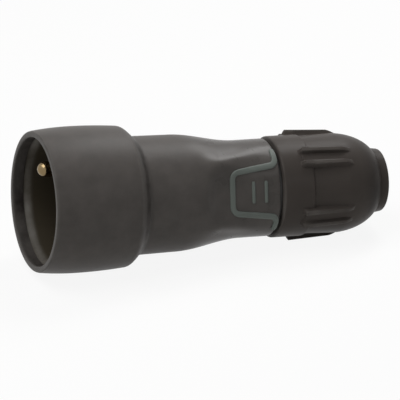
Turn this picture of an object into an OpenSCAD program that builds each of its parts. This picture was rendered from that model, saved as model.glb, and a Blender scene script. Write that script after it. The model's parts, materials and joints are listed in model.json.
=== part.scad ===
// In-line extension socket with a rubber collar and grip, an earth pin and a gland nut.
// It lies on its side. Along the socket, x runs from the mouth to the cable end; before
// the housing is rolled, its earth pin is on the +z side and its near grip panel on the -y side.

/* [Plug recess] */
// Radius of the recess that takes the plug
recess_r = 19.3; // [18.8:0.1:20]
// Depth of the recess, from the mouth to the contact face
recess_depth = 15.5; // [14.5:0.5:17]
// Distance from the mouth to the rim of the insert
insert_set_back = 3.5; // [2.8:0.1:4.5]
// Length of the bevel on the rim of the insert
insert_bevel = 2.3; // [1:0.1:3]
// Wall of the cup of the insert
insert_wall = 1.3; // [1:0.1:2]
// Wall of the skirt behind the contact face
skirt_wall = 2; // [1.6:0.1:2.6]
// Thickness of the contact face
face_t = 3; // [2.6:0.1:3.6]

/* [Contacts] */
// Distance between the two contact holes
contact_pitch = 19; // [18.6:0.1:19.4]
// Radius of a contact hole in the face
contact_hole_r = 2.6; // [2.5:0.05:2.75]
// Lead-in bevel round a contact hole
hole_bevel = 0.6; // [0.3:0.1:1]
// Bore radius of a contact sleeve
sleeve_bore_r = 2.45; // [2.42:0.01:2.5]
// Wall of a contact sleeve
sleeve_wall = 1; // [0.7:0.1:1.2]
// Width of the slits in a contact sleeve
slit_w = 0.8; // [0.5:0.1:1]
// Thickness of a sleeve's spring clip
clip_t = 0.6; // [0.4:0.1:0.7]
// Width of a sleeve's spring clip
clip_w = 4; // [3:0.5:5]
// Radius of a terminal barrel
barrel_r = 4; // [3.6:0.1:4.2]
// Length of a terminal barrel
barrel_len = 8; // [7:0.5:9]
// Radius of the wire hole in a terminal barrel
wire_hole_r = 1.7; // [1.4:0.1:2]
// Distance of a spring clip from the front of the block
clip_back = 1.5; // [1:0.1:2]
// Wall between the bore of a sleeve and its terminal, and in front of a wire hole
barrel_floor = 1.5; // [1:0.1:2]

/* [Earth pin] */
// Radius of the earth pin
earth_r = 2.4; // [2.35:0.01:2.45]
// Length of the earth pin in front of the contact face
earth_out = 14; // [13:0.5:14]
// Step from the earth pin to its shank in the contact face
earth_step = 0.4; // [0.3:0.05:0.6]
// Distance of the earth pin from the axis
earth_offset = 10; // [9.8:0.1:10.2]

/* [Shutter] */
// Thickness of the shutter plate
shutter_t = 2.4; // [2:0.1:3]
// Half length of the shutter plate along the row of contacts
shutter_half = 13.4; // [13:0.1:14]
// Cover of the shutter beyond a contact hole
shutter_cover = 0.9; // [0.6:0.1:1.2]
// Share of the shutter's thickness that its slopes take
shutter_slope = 0.7; // [0.5:0.05:0.8]
// Width of a rail beside the shutter
rail_w = 1.6; // [1.2:0.1:2]
// Radius of the shutter spring at its wire
spring_r = 0.95; // [0.8:0.05:1]
// Radius of the spring's wire
spring_wire_r = 0.22; // [0.15:0.01:0.25]
// Turns of the shutter spring
spring_turns = 8; // [6:1:12]

/* [Terminal block] */
// Radius of the block behind its flange
block_r = 15.4; // [15.2:0.1:15.6]
// Length of the block behind its flange
block_len = 13; // [12:0.5:14]
// Thickness of the block's flange
block_flange_t = 3; // [2.4:0.1:4]
// Wall of the block behind the pockets of the clips
pocket_wall = 5; // [4:0.5:6]
// Distance of the carrier screws beyond the contacts
screw_out = 1; // [0.5:0.1:1.5]
// Height of the carrier screws above the row of contacts
screw_rise = 7.5; // [7:0.1:8]
// Wall of the boss round a carrier screw
boss_wall = 1; // [0.8:0.1:1.2]
// Radius of a screw's shank
screw_r = 1.4; // [1.2:0.1:1.5]
// Radius of a screw's head
screw_head_r = 2.1; // [1.8:0.1:2.2]
// Thickness of a screw's head
screw_head_t = 1.3; // [1:0.1:1.4]
// Width of the slot in a screw's head
slot_w = 0.6; // [0.4:0.1:0.8]

/* [Collar] */
// Length of the collar, from the mouth to its rear edge
collar_len = 27.4; // [26:0.1:30]
// Overhang of the rubber lip in front of the insert
lip_overhang = 0.5; // [0.3:0.1:0.8]
// Width of the rim at the mouth
rim_w = 1.9; // [1.9:0.1:2.4]
// Rounding of the rim's outer edge
rim_round = 0.5; // [0.3:0.1:1]
// Rounding of the rim's inner edge
rim_inner_round = 0.4; // [0.2:0.1:0.5]
// Length of the blend from the rim to the collar
rim_blend = 1; // [0.6:0.1:2]
// Distance of the collar's fullest ring from the mouth
belly_at = 12.5; // [10:0.5:16]
// Wall of the collar at its fullest ring
belly_wall = 2.2; // [2:0.1:3]
// Wall of the collar at its rear edge
back_wall = 1.5; // [1.3:0.1:1.9]
// Length of the shoulder between collar and body
shoulder_len = 4.6; // [4:0.1:6]

/* [Grip] */
// Wall of the body in front of the taper
body_wall = 2.95; // [2.6:0.05:3.4]
// Length of the straight body between shoulder and taper
body_len = 12.7; // [11:0.1:14]
// Narrowing of the straight body over its length
body_draft = 0.25; // [0:0.05:0.5]
// Length of the taper from body to grip
taper_len = 22.5; // [20:0.5:26]
// Length of the grip behind the taper
grip_len = 9.2; // [9:0.1:12]
// Radius of the grip
grip_r = 15.3; // [15:0.1:15.8]
// Rounding of the grip's rear edge
grip_round = 0.6; // [0.3:0.1:1]
// Distance of a grip panel from the axis
panel_d = 14.1; // [13.9:0.1:14.4]
// Radius of the run-out at the front of a grip panel
panel_run_r = 12; // [9:0.5:14]
// Distance from the grip's end to the start of a flat panel
panel_len = 16.4; // [15.5:0.1:17]

/* [Grip ridges] */
// Width of the hat-shaped ridge
ridge_w = 1.8; // [1.2:0.1:2]
// Height of the ridges above the grip
ridge_h = 0.45; // [0.2:0.05:0.8]
// Depth that the ridges are let into the grip
ridge_set = 0.6; // [0.4:0.05:0.9]
// Half height of the hat at its crown
hat_crown = 6.3; // [5.5:0.1:7]
// Half height of the hat at its brim
hat_brim = 8.1; // [7.5:0.1:9]
// Half height to the ends of the brim
hat_end = 12.4; // [11:0.1:13]
// Length of the hat along the socket
hat_len = 15; // [14:0.1:15.2]
// Radius of the hat's corners at its middle line
hat_corner_r = 2.2; // [1.8:0.1:2.6]
// Width of a short bar inside the hat
bar_w = 1.1; // [0.8:0.1:1.4]
// Half length of a short bar
bar_half = 3.4; // [2.5:0.1:4]
// Distance of the front bar from the crown of the hat
bar_at_front = 7; // [6:0.1:8]
// Distance of the rear bar from the crown of the hat
bar_at_rear = 11.2; // [10:0.1:12]

/* [Gland] */
// Outer radius of the threaded neck
neck_r = 11.2; // [10.8:0.1:11.4]
// Wall of the threaded neck
neck_wall = 2.6; // [2.2:0.1:2.8]
// Length of the neck behind the grip
neck_out = 21.6; // [20:0.1:23]
// Thickness of the flange that holds the neck in the housing
neck_flange_t = 2.5; // [2:0.1:3]
// Gap between grip and nut, filled by the neck seal
seal_t = 1; // [0.8:0.1:1.4]
// Width of the seal round the neck
seal_w = 2.8; // [2:0.1:3.2]
// Bore radius of the cable seal
cable_r = 5; // [4:0.1:5.5]
// Length of the cable seal
grommet_len = 16; // [14:0.5:18]
// Length of the taper at the front of the cable seal
grommet_taper = 3; // [2:0.5:4]
// Narrowing of the cable seal at its front
grommet_thin = 1; // [0.6:0.1:1.4]
// Length of the clamp collet
collet_len = 8.3; // [7.5:0.1:9]
// Wall of the clamp collet
collet_wall = 2; // [1.6:0.1:2.2]
// Number of fingers on the clamp collet
collet_fingers = 6; // [4:1:8]
// Gap between two fingers of the collet
finger_gap = 1.2; // [0.8:0.1:1.6]
// Length of the closed ring at the front of the collet
collet_base = 2.2; // [1.6:0.1:3]
// Length of the taper at the collet's rear end
collet_taper = 3; // [2:0.5:4]
// Narrowing of the collet at its rear end
collet_thin = 0.8; // [0.4:0.1:1]
// Thickness of the slip washer
washer_t = 1.2; // [0.8:0.1:1.5]

/* [Gland nut] */
// Thickness of the nut's rear wall, with its lip
nut_rear_t = 6.7; // [6:0.1:7.5]
// Outer radius of the nut's front ring
nut_ring_r = 15.9; // [15.7:0.1:16.2]
// Length of the nut's front ring
nut_ring_len = 10.1; // [9:0.1:11]
// Depth of the step behind the front ring
nut_step = 0.65; // [0.4:0.05:0.9]
// Radius where the dome of the nut begins
dome_r = 15.65; // [15.4:0.05:15.8]
// Distance from the nut's front to the start of its dome
dome_at = 20.6; // [19.5:0.1:22]
// Length of the blend from the panels to the dome
dome_blend = 1.5; // [1:0.1:2]
// Share of the dome's full sweep that shows in front of the lip
dome_share = 0.9; // [0.84:0.01:0.94]
// Radius of the core that the dome closes on
dome_core_r = 6; // [5:0.1:6.5]
// Radius of the nut's rear lip
lip_r = 9.9; // [9:0.1:10.4]
// Length of the nut's rear lip
lip_len = 3; // [2:0.1:3.6]
// Rounding of the lip and of the nut's front edge
nut_round = 0.6; // [0.3:0.1:1]
// Radius of the cable hole in the nut
entry_r = 7.2; // [6.5:0.1:7.8]
// Number of ribs on the nut
rib_count = 5; // [5:1:9]
// Width of a rib
rib_w = 6; // [5:0.1:6.6]
// Width of the groove between a rib's two crests
rib_groove_w = 2.8; // [2:0.1:3.2]
// Depth of the groove between a rib's two crests
rib_groove_d = 1.1; // [0.6:0.05:1.3]
// Distance from the nut's front to the ribs
rib_at = 5.6; // [5:0.1:7]
// Length of the crest of a rib
rib_len = 13.4; // [12:0.1:15]
// Depth of the foot of a rib's front slope below the ring
rib_sink = 1.3; // [0.8:0.1:2]
// Length of the slope at the front of a rib
rib_ramp = 1.8; // [1:0.1:2.5]
// Length of the run-out at the rear of a rib
rib_tail = 3.8; // [3:0.1:5.5]
// Drop of a rib's crest over its run-out
rib_drop = 1.8; // [1.4:0.1:2.2]
// Radius of a rib's crest at the front
rib_front_r = 17.3; // [17:0.1:18]
// Radius of a rib's crest at the rear
rib_rear_r = 16.6; // [16.3:0.1:16.8]

/* [Fits] */
// Gap between pieces that are pressed or moulded together
seat_gap = 0.05; // [0.03:0.01:0.1]
// Gap between pieces that are assembled
fit_gap = 0.2; // [0.1:0.05:0.3]
// Gap round pieces that slide or turn
run_gap = 0.3; // [0.25:0.05:0.4]

/* [Rest] */
// Roll of the housing about its axis as it lies, in degrees
housing_roll = -16.5; // [-30:0.5:30]

/* [Hidden] */
$fn = 96;

// Length that a cut runs past a face, and that shapes of one piece run into each other
past = 1;
join = 0.5;
// Powers that shape the collar's shoulder and the run-out of a rib
shoulder_curve = 1.5;
tail_curve = 1.6;

// Radii that follow from the walls and gaps
insert_r = recess_r + insert_wall;
insert_bore_r = insert_r + seat_gap;
skirt_r = insert_r - skirt_wall;
mouth_r = insert_r - lip_overhang;
collar_mouth_r = mouth_r + rim_w;
belly_r = insert_r + belly_wall;
collar_back_r = insert_r + back_wall;
terminal_reach = contact_pitch / 2 + barrel_r + screw_head_t;
cavity_r = max(block_r, terminal_reach) + fit_gap;
body_r = cavity_r + body_wall;
neck_bore_r = neck_r - neck_wall;
nut_bore_r = neck_r + run_gap;
seal_r = neck_r + seal_w;
grommet_r = neck_bore_r - fit_gap;
collet_r = neck_bore_r + collet_wall;
sleeve_r = sleeve_bore_r + sleeve_wall;
pocket_r = sleeve_r + clip_t + 2 * fit_gap;
shank_r = earth_r + earth_step;
boss_r = screw_r + boss_wall;

// Stations along the axis, from the mouth
face_back = recess_depth + face_t;
block_front = face_back + shutter_t + 2 * run_gap;
seat = block_front + block_flange_t;
block_back = seat + block_len;
terminal_back = block_back + barrel_len;
neck_front = terminal_back + run_gap;
neck_seat = neck_front + neck_flange_t;
shoulder_back = collar_len + shoulder_len;
taper_front = shoulder_back + body_len;
taper_back = taper_front + taper_len;
grip_end = taper_back + grip_len;
nut_front = grip_end + seal_t;
neck_end = grip_end + neck_out;
collet_front = neck_end + fit_gap;
collet_end = collet_front + collet_len;
grommet_front = collet_end - grommet_len;
washer_front = collet_end + fit_gap;
nut_floor = washer_front + washer_t + fit_gap;
nut_end = nut_floor + nut_rear_t;
step_at = nut_front + nut_ring_len;
dome_front = nut_front + dome_at;
lip_front = nut_end - lip_len;
dome_run = (lip_front - dome_front) / dome_share;
rib_front = nut_front + rib_at;
rib_top_front = rib_front + rib_ramp;
rib_top_rear = rib_top_front + rib_len;
rib_rear = rib_top_rear + rib_tail;
panel_front = grip_end - panel_len;
hat_front = grip_end - hat_len - ridge_w / 2;
earth_tip = recess_depth - earth_out;

// Carrier screws, beside the earth pin
screw_row = contact_pitch / 2 + screw_out;

// Shutter edges before it slides: it covers the holes and then clears them downwards
shutter_top = contact_hole_r + shutter_cover;
shutter_low = -contact_hole_r - shutter_cover;
shutter_travel = shutter_top + contact_hole_r + run_gap;
spring_seat = -(skirt_r - run_gap);

function arc(cx, cy, r, from, to, steps = 6) =
    [for (i = [0 : steps]) let (a = from + (to - from) * i / steps) [cx + r * cos(a), cy + r * sin(a)]];

// Outer line of the collar: a swelling that is fullest at the belly
function collar_line(x) =
    let (edge = x < belly_at ? collar_mouth_r : collar_back_r,
         reach = x < belly_at ? belly_at : collar_len - belly_at)
    belly_r - (belly_r - edge) * pow((x - belly_at) / reach, 2);

function taper_line(x) =
    let (wide = body_r - body_draft)
    wide - (wide - grip_r) * (1 - cos(180 * (x - taper_front) / taper_len)) / 2;

function dome_line(x) =
    dome_core_r + (dome_r - dome_core_r) * sqrt(1 - pow((x - dome_front) / dome_run, 2));

// Points of a path's corner b, between a and c, rounded to a radius
function corner(a, b, c, r, steps = 4) =
    let (u = (a - b) / norm(a - b), v = (c - b) / norm(c - b), half = acos(u * v) / 2,
         back = r / tan(half), centre = b + (u + v) / norm(u + v) * r / sin(half),
         p = b + u * back - centre, q = b + v * back - centre,
         from = atan2(p[1], p[0]), turn = (q[0] * -p[1] + q[1] * p[0] < 0 ? -1 : 1) * (180 - 2 * half))
    arc(centre[0], centre[1], r, from, from + turn, steps);

// Side line of a path, at a distance d to its left
function side_line(path, d) = [for (i = [0 : len(path) - 1])
    let (a = path[max(i - 1, 0)], b = path[i], c = path[min(i + 1, len(path) - 1)],
         u = (i == 0 ? c - b : b - a) / norm(i == 0 ? c - b : b - a),
         v = (i == len(path) - 1 ? u : (c - b) / norm(c - b)), m = [-u[1] - v[1], u[0] + v[0]])
    b + m * (2 * d / (m * m))];

// Outline of a band along a path
function band(path, half) =
    let (left = side_line(path, half), right = side_line(path, -half))
    concat(left, [for (i = [len(right) - 1 : -1 : 0]) right[i]]);

function spaced(from, to, steps) = [for (i = [0 : steps]) from + (to - from) * i / steps];

rim_outline = arc(rim_round, collar_mouth_r - rim_round, rim_round, 180, 90);
collar_outline = [for (x = spaced(rim_round + rim_blend, collar_len, 14)) [x, collar_line(x)]];
shoulder_outline = [for (t = spaced(1 / 8, 1, 7))
    [collar_len + shoulder_len * t, collar_back_r - (collar_back_r - body_r) * pow(t, shoulder_curve)]];
taper_outline = [for (x = spaced(taper_front, taper_back, 14)) [x, taper_line(x)]];
grip_edge = arc(grip_end - grip_round, grip_r - grip_round, grip_round, 90, 0, 4);
rib_outline = concat([[rib_front, nut_ring_r - rib_sink], [rib_top_front, rib_front_r]],
    [for (t = spaced(0, 1, 5)) [rib_top_rear + rib_tail * t, rib_rear_r - rib_drop * pow(t, tail_curve)]]);
lip_outline = concat([[lip_front, lip_r]],
    arc(nut_end - nut_round, lip_r - nut_round, nut_round, 90, 0, 4));

// Middle line of the hat-shaped ridge, from the end of its brim over its crown to the other end
hat_turns = [[hat_len, hat_end], [hat_len, hat_brim], [0, hat_crown], [0, -hat_crown],
             [hat_len, -hat_brim], [hat_len, -hat_end]];
hat_path = concat([hat_turns[0]],
    [for (i = [1 : 4]) each corner(hat_turns[i - 1], hat_turns[i], hat_turns[i + 1], hat_corner_r)],
    [hat_turns[5]]);

// The socket lies on its collar and on the lowest rib, so its axis slopes down to the cable end
rest_slope = min([for (b = rib_outline) max([for (a = collar_outline) (a[1] - b[1]) / (b[0] - a[0])])]);
rest_tilt = atan(rest_slope);
rest_lift = max([for (a = collar_outline) a[0] * sin(rest_tilt) + a[1] * cos(rest_tilt)]);
rest_front = min([for (a = rim_outline) a[0] * cos(rest_tilt) - a[1] * sin(rest_tilt)]);
rest_back = max([for (a = lip_outline) a[0] * cos(rest_tilt) + a[1] * sin(rest_tilt)]);

module lay_down()
    translate([-(rest_front + rest_back) / 2, 0, rest_lift]) rotate([0, rest_tilt, 0]) children();

module lay_housing() lay_down() rotate([housing_roll, 0, 0]) children();

// A solid turned round the socket's axis from an outline of [x, radius] points
module turned(outline)
    rotate([0, 90, 0]) rotate_extrude() polygon([for (p = outline) [p[1], p[0]]]);

// A ring, tube or disc on the socket's axis
module ring(from, to, outer, inner = 0)
    turned([[from, inner], [from, outer], [to, outer], [to, inner]]);

// A straight rod or hole along x, at a place across the axis
module rod(from, to, r, y = 0, z = 0)
    translate([from, y, z]) rotate([0, 90, 0]) cylinder(h = to - from, r = r);

// A plate of a given width across y, with its side view drawn on x and z
module plate(width) rotate([90, 0, 0]) linear_extrude(width, center = true) children();

// Both grip panels: flats with a round run-out at their front ends
module panel_cuts()
    for (side = [90, -90]) rotate([side, 0, 0]) plate(4 * grip_r) {
        translate([panel_front, panel_d]) square([panel_len + past, grip_r]);
        translate([panel_front, panel_d + panel_run_r]) circle(panel_run_r);
    }

// The core of the grip, round with two flats, moved outwards by a given amount
module grip_core(grow)
    intersection() {
        rod(panel_front - panel_run_r, grip_end + past, grip_r + grow);
        translate([panel_front - panel_run_r, -panel_d - grow, -2 * grip_r])
            cube([panel_len + 2 * panel_run_r, 2 * (panel_d + grow), 4 * grip_r]);
    }

// Flat drawing of the hat-shaped ridge and its two bars, grown by a given amount
module ridge_drawing(grow = 0) {
    polygon(band(hat_path, ridge_w / 2 + grow));
    for (x = [bar_at_front, bar_at_rear])
        polygon(band([[x, -bar_half - grow], [x, bar_half + grow]], bar_w / 2 + grow));
}

// The ridges' drawing pushed through the near side of the grip
module ridge_prism(grow = 0)
    translate([hat_front, 0, 0]) rotate([90, 0, 0]) linear_extrude(2 * grip_r) ridge_drawing(grow);

module grip_inlay(side)
    color("#505650") lay_housing() rotate([side, 0, 0]) difference() {
        intersection() {
            ridge_prism();
            grip_core(ridge_h);
        }
        grip_core(seat_gap - ridge_set);
    }

module grip_inlay_near() grip_inlay(0);

module grip_inlay_far() grip_inlay(180);

module housing()
    color("#33312f") lay_housing() difference() {
        turned(concat(
            arc(rim_inner_round, mouth_r + rim_inner_round, rim_inner_round, 270, 180, 4),
            rim_outline, collar_outline, shoulder_outline, taper_outline, grip_edge,
            [[grip_end, neck_r + seat_gap], [neck_seat, neck_r + seat_gap], [neck_seat, cavity_r],
             [seat, cavity_r], [seat, insert_bore_r], [insert_set_back, insert_bore_r]]));
        panel_cuts();
        for (side = [0, 180]) rotate([side, 0, 0]) difference() {
            ridge_prism(seat_gap);
            grip_core(-ridge_set);
        }
    }

// Rails beside the shutter and bosses for the carrier screws, behind the contact face
module insert_fittings() {
    rail_x = face_back - join;
    intersection() {
        for (side = [1, -1])
            translate([rail_x, side * (shutter_half + run_gap + rail_w / 2) - rail_w / 2, -skirt_r])
                cube([block_front - fit_gap - rail_x, rail_w, skirt_r + shutter_top]);
        rod(face_back - past, block_front, skirt_r + skirt_wall / 2);
    }
    for (side = [1, -1]) rod(rail_x, block_front - seat_gap, boss_r, side * screw_row, screw_rise);
}

module socket_insert()
    color("#2a2826") lay_housing() difference() {
        union() {
            turned([[recess_depth, 0], [recess_depth, recess_r], [insert_set_back + insert_bevel, recess_r],
                [insert_set_back, insert_r], [seat, insert_r], [seat, skirt_r],
                [face_back, skirt_r], [face_back, 0]]);
            insert_fittings();
        }
        for (side = [1, -1]) {
            rod(recess_depth - past, face_back + past, contact_hole_r, side * contact_pitch / 2);
            translate([recess_depth - hole_bevel, side * contact_pitch / 2, 0]) rotate([0, 90, 0])
                cylinder(h = 2 * hole_bevel, r1 = contact_hole_r + 2 * hole_bevel, r2 = contact_hole_r);
            rod(face_back - past, block_front + past, screw_r + seat_gap, side * screw_row, screw_rise);
        }
        rod(recess_depth - past, face_back + past, shank_r + seat_gap, 0, earth_offset);
    }

// Plate with two sloping faces that the plug's pins push aside
module shutter()
    color("#d8d2c4") lay_housing() difference() {
        translate([face_back + run_gap, -shutter_half, shutter_low])
            cube([shutter_t, 2 * shutter_half, shutter_top - shutter_low]);
        for (side = [1, -1]) translate([0, side * contact_pitch / 2, 0])
            plate(2 * (contact_hole_r + join)) polygon([[face_back, -contact_hole_r],
                [face_back + run_gap + shutter_t * shutter_slope, shutter_top + join],
                [face_back, shutter_top + join]]);
    }

// Coil spring between the shutter's lower edge and the skirt of the insert
module shutter_spring() {
    sides = 6;
    per_turn = 10;
    rings = spring_turns * per_turn;
    first_z = spring_seat + spring_wire_r;
    span = shutter_low - run_gap - spring_wire_r - first_z;
    mid = face_back + run_gap + shutter_t / 2;
    points = [for (i = [0 : rings]) let (a = 360 * i / per_turn, z = first_z + span * i / rings)
        for (k = [0 : sides - 1]) let (b = 360 * k / sides, r = spring_r + spring_wire_r * cos(b))
            [mid + r * cos(a), r * sin(a), z + spring_wire_r * sin(b)]];
    walls = [for (i = [0 : rings - 1]) for (k = [0 : sides - 1]) let (n = (k + 1) % sides, p = i * sides)
        each [[p + k, p + sides + k, p + n], [p + n, p + sides + k, p + sides + n]]];
    first = [for (k = [0 : sides - 1]) k];
    last = [for (k = [sides - 1 : -1 : 0]) rings * sides + k];
    color("#b9bcc0") lay_housing() polyhedron(points, concat(walls, [first], [last]), convexity = 8);
}

module terminal_block()
    color("#e6e2d8") lay_housing() difference() {
        union() {
            ring(block_front, seat, skirt_r - fit_gap);
            ring(seat, block_back, block_r);
        }
        for (side = [1, -1]) {
            rod(block_front - past, block_back - pocket_wall, pocket_r, side * contact_pitch / 2);
            rod(block_front - past, block_back + past, sleeve_r + fit_gap, side * contact_pitch / 2);
            rod(block_front - past, block_back + past, screw_r + fit_gap, side * screw_row, screw_rise);
        }
        rod(block_front - past, block_back + past, shank_r + fit_gap, 0, earth_offset);
    }

// Terminal barrel with its wire hole and the hole of its screw, which points along +z
module barrel()
    difference() {
        rod(block_back, terminal_back, barrel_r);
        rod(block_back + barrel_floor, terminal_back + past, wire_hole_r);
        translate([terminal_back - barrel_len / 2, 0, 0]) cylinder(h = 2 * barrel_r, r = screw_r);
    }

// Split sleeve on a terminal barrel, on the socket's axis
module sleeve_contact() {
    difference() {
        rod(block_front + fit_gap, block_back + join, sleeve_r);
        rod(block_front, block_back - barrel_floor, sleeve_bore_r);
        translate([block_front, -slit_w / 2, -2 * sleeve_r]) cube([block_len, slit_w, 4 * sleeve_r]);
    }
    barrel();
}

module phase_contact()
    color("#c9a24a") lay_housing() translate([0, contact_pitch / 2, 0]) rotate([-90, 0, 0]) sleeve_contact();

module neutral_contact()
    color("#c9a24a") lay_housing() translate([0, -contact_pitch / 2, 0]) rotate([90, 0, 0]) sleeve_contact();

// Open spring ring round the front of a sleeve
module sleeve_clip()
    difference() {
        translate([block_front + clip_back, 0, 0])
            ring(0, clip_w, sleeve_r + seat_gap + clip_t, sleeve_r + seat_gap);
        translate([block_front, 0, 0]) plate(2 * sleeve_wall) square([block_len, 2 * sleeve_r]);
    }

module phase_clip()
    color("#c4c6c8") lay_housing() translate([0, contact_pitch / 2, 0]) rotate([-90, 0, 0]) sleeve_clip();

module neutral_clip()
    color("#c4c6c8") lay_housing() translate([0, -contact_pitch / 2, 0]) rotate([90, 0, 0]) sleeve_clip();

module earth_pin()
    color("#c9a24a") lay_housing() translate([0, 0, earth_offset]) {
        turned(concat([[block_back + join, 0]], arc(earth_tip + earth_r, 0, earth_r, 180, 90, 10),
            [[recess_depth, earth_r], [recess_depth, shank_r], [block_back + join, shank_r]]));
        barrel();
    }

// Screw with a slotted head, pointing down from z = 0
module slotted_screw(length, r)
    difference() {
        union() {
            translate([0, 0, -length]) cylinder(h = length + screw_head_t / 2, r = r);
            cylinder(h = screw_head_t, r = screw_head_r);
        }
        translate([-2 * screw_head_r, -slot_w / 2, screw_head_t / 2])
            cube([4 * screw_head_r, slot_w, screw_head_t]);
    }

module terminal_screws()
    color("#c8cbce") lay_housing() for (turn = [0, 90, -90]) {
        out = turn == 0 ? earth_offset : contact_pitch / 2;
        rotate([turn, 0, 0]) translate([terminal_back - barrel_len / 2, 0, out + barrel_r])
            slotted_screw(barrel_r - wire_hole_r, screw_r - seat_gap);
    }

module carrier_screws()
    color("#c8cbce") lay_housing() for (side = [1, -1])
        translate([block_back, side * screw_row, screw_rise]) rotate([0, 90, 0])
            slotted_screw(block_back - face_back - fit_gap, screw_r);

module neck_shell()
    color("#3a3734") lay_housing() {
        ring(neck_front, neck_seat, cavity_r - fit_gap, neck_bore_r);
        ring(neck_front, neck_end, neck_r, neck_bore_r);
    }

module neck_seal()
    color("#1c1b1a") lay_housing()
        ring(grip_end + seat_gap, nut_front - fit_gap, seal_r, neck_r + seat_gap);

module cable_grommet()
    color("#232120") lay_housing()
        turned([[grommet_front, cable_r], [grommet_front, grommet_r - grommet_thin],
            [grommet_front + grommet_taper, grommet_r], [collet_end, grommet_r], [collet_end, cable_r]]);

// Ring with fingers that close on the cable seal
module clamp_collet()
    color("#4a4744") lay_housing() difference() {
        turned([[collet_front, neck_bore_r], [collet_front, collet_r], [collet_end - collet_taper, collet_r],
            [collet_end, collet_r - collet_thin], [collet_end, neck_bore_r]]);
        for (i = [0 : collet_fingers - 1]) rotate([360 * i / collet_fingers, 0, 0])
            translate([collet_front + collet_base, -finger_gap / 2, 0])
                cube([collet_len, finger_gap, 2 * collet_r]);
    }

module slip_washer()
    color("#b9bcc0") lay_down() ring(washer_front, washer_front + washer_t, nut_bore_r - fit_gap, entry_r);

// One rib of the nut on its +z side, with a groove between its two crests
module nut_rib()
    difference() {
        plate(rib_w) polygon(concat(
            [[rib_front, nut_bore_r + past]], rib_outline, [[rib_rear, nut_bore_r + past]]));
        plate(rib_groove_w) translate([0, -rib_groove_d]) polygon(concat(
            [[rib_front, rib_front_r + past]], [for (p = rib_outline) if (p[0] > rib_front) p],
            [[rib_rear, rib_front_r + past]]));
    }

module gland_nut()
    color("#2f2b29") lay_down() {
        turned(concat([[nut_front, nut_bore_r]],
            arc(nut_front + nut_round, nut_ring_r - nut_round, nut_round, 180, 90, 4),
            [[step_at, nut_ring_r], [step_at + nut_step / 2, nut_ring_r - nut_step]],
            [for (x = spaced(dome_front + dome_blend, lip_front, 12)) [x, dome_line(x)]],
            lip_outline,
            [[nut_end, entry_r], [nut_floor, entry_r], [nut_floor, nut_bore_r]]));
        for (i = [0 : rib_count - 1]) rotate([180 + 360 * i / rib_count, 0, 0]) nut_rib();
    }

housing();
grip_inlay_near();
grip_inlay_far();
socket_insert();
shutter();
shutter_spring();
terminal_block();
phase_contact();
neutral_contact();
phase_clip();
neutral_clip();
earth_pin();
terminal_screws();
carrier_screws();
neck_shell();
neck_seal();
cable_grommet();
clamp_collet();
slip_washer();
gland_nut();
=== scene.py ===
# Looks of an in-line rubber extension socket: its shells, ridges, nut, finishes, light and camera.
import json
import math

import bmesh
import bpy
from bpy.props import FloatProperty, FloatVectorProperty, IntProperty, PointerProperty
from mathutils import Matrix, Vector


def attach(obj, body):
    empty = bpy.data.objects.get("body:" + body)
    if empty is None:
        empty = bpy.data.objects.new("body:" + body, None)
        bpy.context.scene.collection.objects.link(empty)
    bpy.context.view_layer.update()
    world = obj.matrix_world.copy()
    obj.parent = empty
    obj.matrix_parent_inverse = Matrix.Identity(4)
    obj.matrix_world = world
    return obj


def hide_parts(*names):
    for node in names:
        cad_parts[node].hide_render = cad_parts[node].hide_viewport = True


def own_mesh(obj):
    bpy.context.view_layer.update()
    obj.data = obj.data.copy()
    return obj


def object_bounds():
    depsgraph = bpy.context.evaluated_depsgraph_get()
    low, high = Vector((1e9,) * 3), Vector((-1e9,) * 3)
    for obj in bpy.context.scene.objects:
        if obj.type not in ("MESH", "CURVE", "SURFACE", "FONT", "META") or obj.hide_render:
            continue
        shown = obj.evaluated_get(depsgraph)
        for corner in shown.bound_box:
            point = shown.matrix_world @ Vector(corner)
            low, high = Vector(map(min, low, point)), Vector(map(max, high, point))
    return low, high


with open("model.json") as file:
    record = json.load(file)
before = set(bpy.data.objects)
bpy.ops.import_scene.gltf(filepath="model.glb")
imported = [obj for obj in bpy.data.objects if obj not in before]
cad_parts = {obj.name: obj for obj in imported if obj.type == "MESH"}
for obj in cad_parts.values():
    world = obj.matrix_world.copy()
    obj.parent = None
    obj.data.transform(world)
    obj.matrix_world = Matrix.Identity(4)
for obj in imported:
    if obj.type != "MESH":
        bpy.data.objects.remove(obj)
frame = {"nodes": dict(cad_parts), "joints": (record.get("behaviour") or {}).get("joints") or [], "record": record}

bl_info = {
    "name": "Rubber extension socket",
    "version": (1, 0, 0),
    "blender": (4, 5, 0),
    "location": "View3D > Sidebar > Socket",
    "description": "Models and dresses the shells, ridges and nut of a rubber extension socket",
    "category": "Object",
}

CAD_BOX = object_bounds()
JOINTS = {joint["name"]: joint for joint in frame["joints"]}

# The axis points from the mouth to the cable end, and the earth pin stands opposite the shutter's way
AXIS = Vector(JOINTS["nut_turn"]["axis"])
NUT_PLACE = Vector(JOINTS["nut_turn"]["pos_m"])
PIN_SIDE = -Vector(JOINTS["shutter_slide"]["axis"])
TOP_SIDE = (Vector((0, 0, 1)) - AXIS * AXIS.z).normalized()

# Nodes that have a piece of their own here; the other nodes are smoothed and finished as they are
MODELLED = {"housing", "grip_inlay_near", "grip_inlay_far", "gland_nut", "neck_shell", "socket_insert"}

# Longest gaps between the rings or sections of a surface, in metres
HOUSING_GAP = 0.00045
RIDGE_GAP = 0.0006
NUT_GAP = 0.0003
THREAD_GAP = 0.00025

# Points nearer than this are one point, and slopes are taken over this step, in metres
WELD = 1e-6
SLOPE_STEP = 0.0001

# What is nearer than this to a bore's radius is the bore's own wall, and stays round
BORE_WALL = 0.001

# The collar's line takes over from the rim's rounding at this many times its radius
RIM_BLEND = 1.8

# Powers that shape the shoulder and the run-out of a rib
SHOULDER_CURVE = 1.25
TAIL_CURVE = 1.6

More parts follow.
